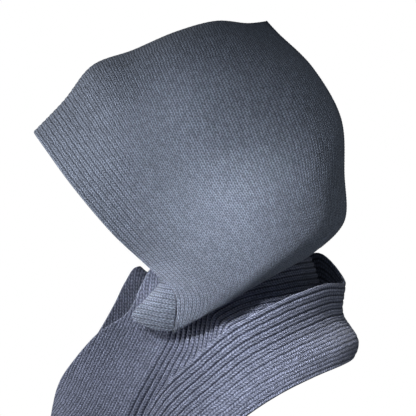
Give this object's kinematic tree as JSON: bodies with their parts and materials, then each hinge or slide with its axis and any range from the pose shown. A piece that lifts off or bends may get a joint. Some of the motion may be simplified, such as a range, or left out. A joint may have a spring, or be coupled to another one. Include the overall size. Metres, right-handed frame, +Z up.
{
  "type": "knitted snood hood",
  "caption": "Loose knitted hood with a back seam and a deep bottom fold, running into two ribbed turns of knit round the neck.",
  "frame": {"origin": "top of the wearer's head, just under the crown of the hood", "axes": "+Z up, -X the way the wearer faces, -Y the wearer's left"},
  "size_m": [0.3258, 0.2588, 0.5011],
  "materials": {
    "blue_knit": "soft brushed stocking stitch",
    "blue_rib": "soft ribbed knit"
  },
  "bodies": {
    "root": {"hood": "blue_knit", "back_seam": "blue_rib", "inner_neck_turn": "blue_rib", "outer_neck_turn": "blue_rib", "chin_fold_left": "blue_knit", "chin_fold_right": "blue_knit"}
  },
  "joints": []
}
